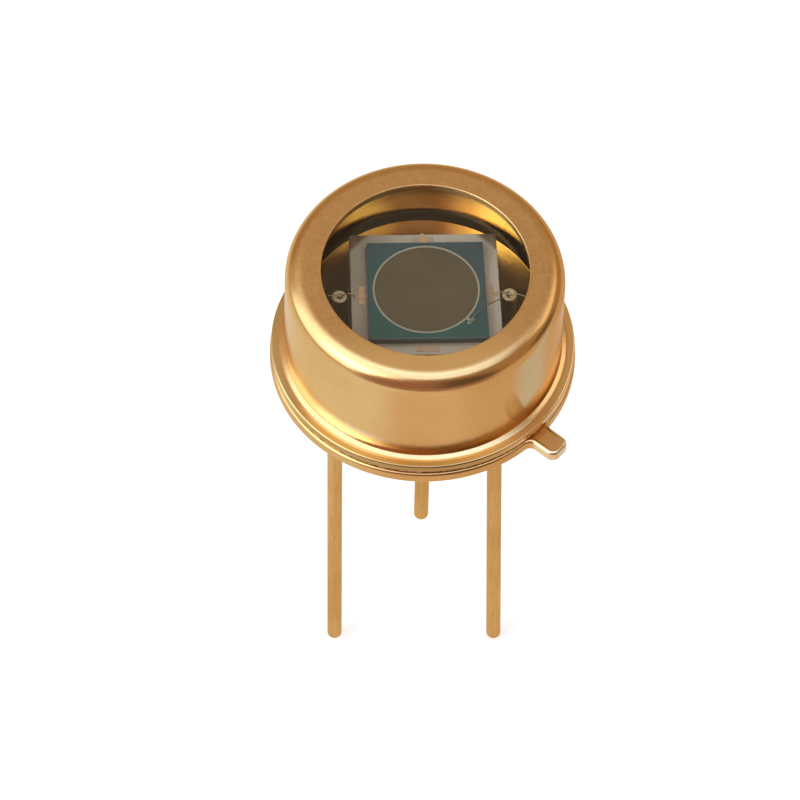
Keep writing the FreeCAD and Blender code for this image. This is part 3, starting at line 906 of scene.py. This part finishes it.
studio = {
    "floorHeight": -15.52, "floorRadius": 260.0,
    "worldDiffuse": 0.62,
    "room": (0.45, 0.31, 0.185), "far": (0.64, 0.52, 0.44),
    "panel": (1.8, 2.1, 2.5), "ceiling": (1.4, 1.8, 2.7),
    "right": (0.36, 0.29, 0.24), "dark": (0.36, 0.21, 0.19), "darkRight": (0.14, 0.10, 0.08),
    "spot": (0.16, 0.13, 0.10),
    "floorNear": (0.78, 0.69, 0.64), "floorLeft": (0.86, 0.93, 1.0),
    "floorRight": (0.70, 0.59, 0.50), "floorCool": (0.66, 0.80, 1.15),
    "floorFar": (0.60, 0.54, 0.48),
}


# Degrees round and up, distance, width and height in millimetres, and level
lamps = {
    "keyLamp": (-150.0, 36.0, 400.0, (260.0, 220.0), 2.2),
    "sideLamp": (25.0, 40.0, 400.0, (220.0, 160.0), 0.9),
}


def addLamp(name, angle, lift, away, size, level):
    # An area lamp aimed at the can; its watts are level * pi * area, so level is its brightness.
    a, e = math.radians(angle), math.radians(lift)
    out = Vector((math.cos(a) * math.cos(e), math.sin(a) * math.cos(e), math.sin(e)))
    lamp = bpy.data.lights.new(name, "AREA")
    lamp.shape = "RECTANGLE"
    lamp.size, lamp.size_y = size[0] * mm, size[1] * mm
    lamp.energy = level * math.pi * lamp.size * lamp.size_y
    holder = bpy.data.objects.new(name, lamp)
    bpy.context.scene.collection.objects.link(holder)
    holder.location = out * away * mm + Vector((0, 0, 0.002))
    holder.rotation_euler = out.to_track_quat("Z", "Y").to_euler()


for name, facts in lamps.items():
    addLamp(name, *facts)


def lightPaths(bench):
    # Two masks: what the camera sees itself or through clear glass, and what comes by way of
    # a mirroring surface, also when it then leaves through the window.
    def path(name):
        return bench.node("ShaderNodeLightPath", out=name)

    mirrored = path("Glossy Depth").ease(0.2, 0.8) * (1 - path("Is Diffuse Ray"))
    seen = path("Is Camera Ray").most(path("Is Transmission Ray")) * (1 - mirrored)
    return seen, mirrored


def buildFloor(s):
    finish, bench = newFinish("paleFloor")
    x, y = bench.place()[:2]
    seen, mirrored = lightPaths(bench)
    radius = (x * x + y * y) ** 0.5 + 0.001
    # For mirroring rays the floor glows with painted tones instead of its lit colour: painted
    # shade near the can, darker at the right, a cool patch at the right, paler at the left,
    # duller far off and dark far in front.
    tone = bench.mix(s["floorNear"], s["floorRight"], x.ease(5.0, 11.0))
    tone = bench.mix(tone, s["floorCool"], x.ease(10.5, 14.0) * y.ease(-7.0, -3.0)
                     * y.ease(6.0, 1.0))
    tone = bench.mix(tone, s["floorLeft"], (-x).ease(3.0, 12.0))
    tone = bench.mix(tone, s["floorFar"], radius.ease(30.0, 120.0))
    front = (y / radius * -1.0).ease(0.60, 0.80) * radius.ease(44.0, 58.0)
    tone = bench.mix(tone, s["dark"], front)
    own = bench.mix((0.84, 0.84, 0.84), (0.0, 0.0, 0.0), mirrored)
    lift = bench.mix((0.0, 0.0, 0.0), (0.46, 0.46, 0.47), seen)
    lift = bench.mix(lift, tone, mirrored)
    dress(bench, Base_Color=own, Roughness=0.9, Emission_Color=lift, Emission_Strength=1.0)
    t = np.linspace(0, 2 * math.pi, 97)
    r = np.array([0.0, 20.0, 60.0, 140.0, s["floorRadius"]])[:, None]
    level = np.full((len(r), len(t)), s["floorHeight"])
    grid = np.stack([r * np.cos(t), r * np.sin(t), level], -1)
    quads = np.arange(len(r) * len(t)).reshape(len(r), len(t))
    quads = np.stack([quads[:-1, :-1], quads[1:, :-1], quads[1:, 1:], quads[:-1, 1:]], -1)
    mesh = bpy.data.meshes.new("studioFloor")
    mesh.from_pydata((grid.reshape(-1, 3) * mm).tolist(), [], quads.reshape(-1, 4).tolist())
    floor = bpy.data.objects.new("studioFloor", mesh)
    bpy.context.scene.collection.objects.link(floor)
    floor.data.materials.append(finish)


def buildWorld(s):
    # Mirroring metal sees a room: a wide pale panel at the left, a ceiling panel, a dark side
    # towards the viewer and a small dark patch at the right.
    world = bpy.data.worlds.new("studioRoom")
    bpy.context.scene.world = world
    world.use_nodes = True
    bench = Bench(world.node_tree)
    seen, mirrored = lightPaths(bench)
    way = bench.node("ShaderNodeTexCoord", out="Generated")
    dx, dy, dz = (bench.node("ShaderNodeSeparateXYZ", inputs={0: way}, out=i) for i in range(3))
    left = (-dx).ease(0.12, 0.38) * dz.ease(-0.04, 0.08) * dy.ease(0.50, 0.26)
    ceiling = (dz + dy * 0.3).ease(0.66, 0.76) * (dx + dy * 0.5).ease(0.60, 0.30) \
        * dy.ease(0.36, 0.12)
    far = (-dx).ease(0.06, 0.20) * dy.ease(0.70, 0.58)
    right = dx.ease(0.35, 0.60) * dz.ease(0.50, 0.72)
    front = (-dy).ease(0.58, 0.74) * dz.ease(0.90, 0.84)
    patch = ((dx - 0.95) ** 2.0 + dy * dy + (dz - 0.10) ** 2.0).ease(0.09, 0.02)
    room = bench.mix(s["room"], s["right"], right)
    room = bench.mix(room, s["far"], far)
    room = bench.mix(room, s["ceiling"], ceiling)
    room = bench.mix(room, s["panel"], left)
    room = bench.mix(room, bench.mix(s["dark"], s["darkRight"], dx.ease(0.02, 0.28)), front)
    room = bench.mix(room, s["spot"], patch)
    level = s["worldDiffuse"]
    tone = bench.mix((level, level, level), room, mirrored)
    tone = bench.mix(tone, (1.0, 1.0, 1.0), seen)
    glow = bench.node("ShaderNodeBackground", inputs={"Color": tone, "Strength": 1.0})
    bench.node("ShaderNodeOutputWorld", inputs={"Surface": glow})


buildFloor(studio)
buildWorld(studio)


# Camera at the photograph's angle

cameraFacts = {"turn": -3.1, "lift": 55.28, "roll": 1.78, "away": 214.6, "aim": (0, 0, 2.0),
               "slideX": 0.71, "slideY": 2.45, "lens": 322.7}


def buildCamera(s):
    a, e, r = (math.radians(s[k]) for k in ("turn", "lift", "roll"))
    back = Vector((math.sin(a) * math.cos(e), -math.cos(a) * math.cos(e), math.sin(e)))
    level = Vector((math.cos(a), math.sin(a), 0))
    above = back.cross(level)
    right = level * math.cos(r) + above * math.sin(r)
    up = above * math.cos(r) - level * math.sin(r)
    spot = Vector(s["aim"]) - right * s["slideX"] - up * s["slideY"] + back * s["away"]
    camera = bpy.data.cameras.new("studioCamera")
    camera.lens, camera.sensor_width = s["lens"], 36.0
    camera.clip_start, camera.clip_end = 0.005, 10.0
    holder = bpy.data.objects.new("studioCamera", camera)
    bpy.context.scene.collection.objects.link(holder)
    holder.matrix_world = Matrix.Translation(spot * mm) @ Matrix(
        (right, up, back)).transposed().to_4x4()
    bpy.context.scene.camera = holder


buildCamera(cameraFacts)
bpy.context.scene.view_settings.view_transform = "Standard"
print("studio and camera made")
